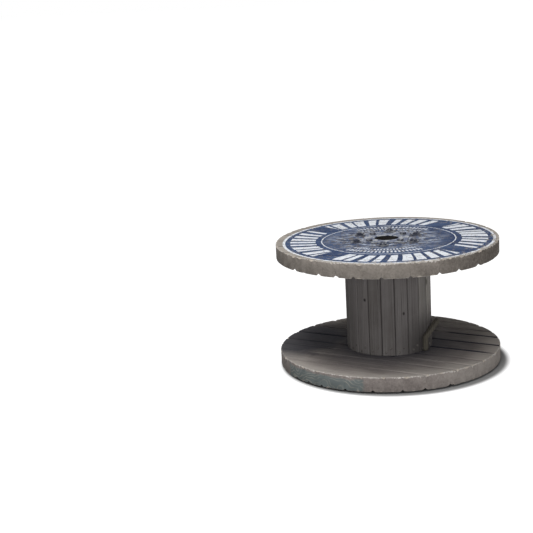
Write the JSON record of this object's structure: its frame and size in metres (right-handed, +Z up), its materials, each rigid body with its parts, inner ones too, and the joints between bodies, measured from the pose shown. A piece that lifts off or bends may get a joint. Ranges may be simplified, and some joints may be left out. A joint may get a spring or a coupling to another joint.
{
  "type": "cable drum",
  "caption": "Timber cable drum standing on end, with round flanges of crossed boards, a stave barrel held by tie bolts, and square steel hub plates around a spindle bore.",
  "frame": {"origin": "on the floor under the drum's axis", "axes": "+Z up along the spindle axis; +X along the boards of the upper flange's outer layer"},
  "size_m": [1, 1, 0.583],
  "materials": {
    "timber": "bare sawn timber, weathered grey-brown",
    "painted_timber": "sawn timber with worn navy paint and white marks",
    "steel": "dull steel under worn paint",
    "plate_steel": "steel plate under worn navy paint"
  },
  "bodies": {
    "root": {"upper_outer_board_1": "painted_timber", "upper_outer_board_2": "painted_timber", "upper_outer_board_3": "painted_timber", "upper_outer_board_4": "painted_timber", "upper_outer_board_5": "painted_timber", "upper_outer_board_6": "painted_timber", "upper_outer_board_7": "painted_timber", "upper_outer_board_8": "painted_timber", "upper_outer_board_9": "painted_timber", "upper_outer_board_10": "painted_timber", "upper_inner_board_1": "timber", "upper_inner_board_2": "timber", "upper_inner_board_3": "timber", "upper_inner_board_4": "timber", "upper_inner_board_5": "timber", "upper_inner_board_6": "timber", "upper_inner_board_7": "timber", "upper_inner_board_8": "timber", "upper_inner_board_9": "timber", "upper_inner_board_10": "timber", "lower_inner_board_1": "timber", "lower_inner_board_2": "timber", "lower_inner_board_3": "timber", "lower_inner_board_4": "timber", "lower_inner_board_5": "timber", "lower_inner_board_6": "timber", "lower_inner_board_7": "timber", "lower_inner_board_8": "timber", "lower_inner_board_9": "timber", "lower_inner_board_10": "timber", "lower_outer_board_1": "timber", "lower_outer_board_2": "timber", "lower_outer_board_3": "timber", "lower_outer_board_4": "timber", "lower_outer_board_5": "timber", "lower_outer_board_6": "timber", "lower_outer_board_7": "timber", "lower_outer_board_8": "timber", "lower_outer_board_9": "timber", "lower_outer_board_10": "timber", "barrel_staves": "timber", "upper_former": "timber", "lower_former": "timber", "cable_cleat": "timber", "tie_bolt_1": "steel", "tie_bolt_2": "steel", "tie_bolt_3": "steel", "tie_bolt_4": "steel", "tie_bolt_5": "steel", "tie_bolt_6": "steel", "tie_nuts": "steel", "nut_washers": "steel", "upper_plate_screws": "steel", "lower_plate_screws": "steel", "upper_hub_plate": "plate_steel", "lower_hub_plate": "plate_steel"}
  },
  "joints": []
}
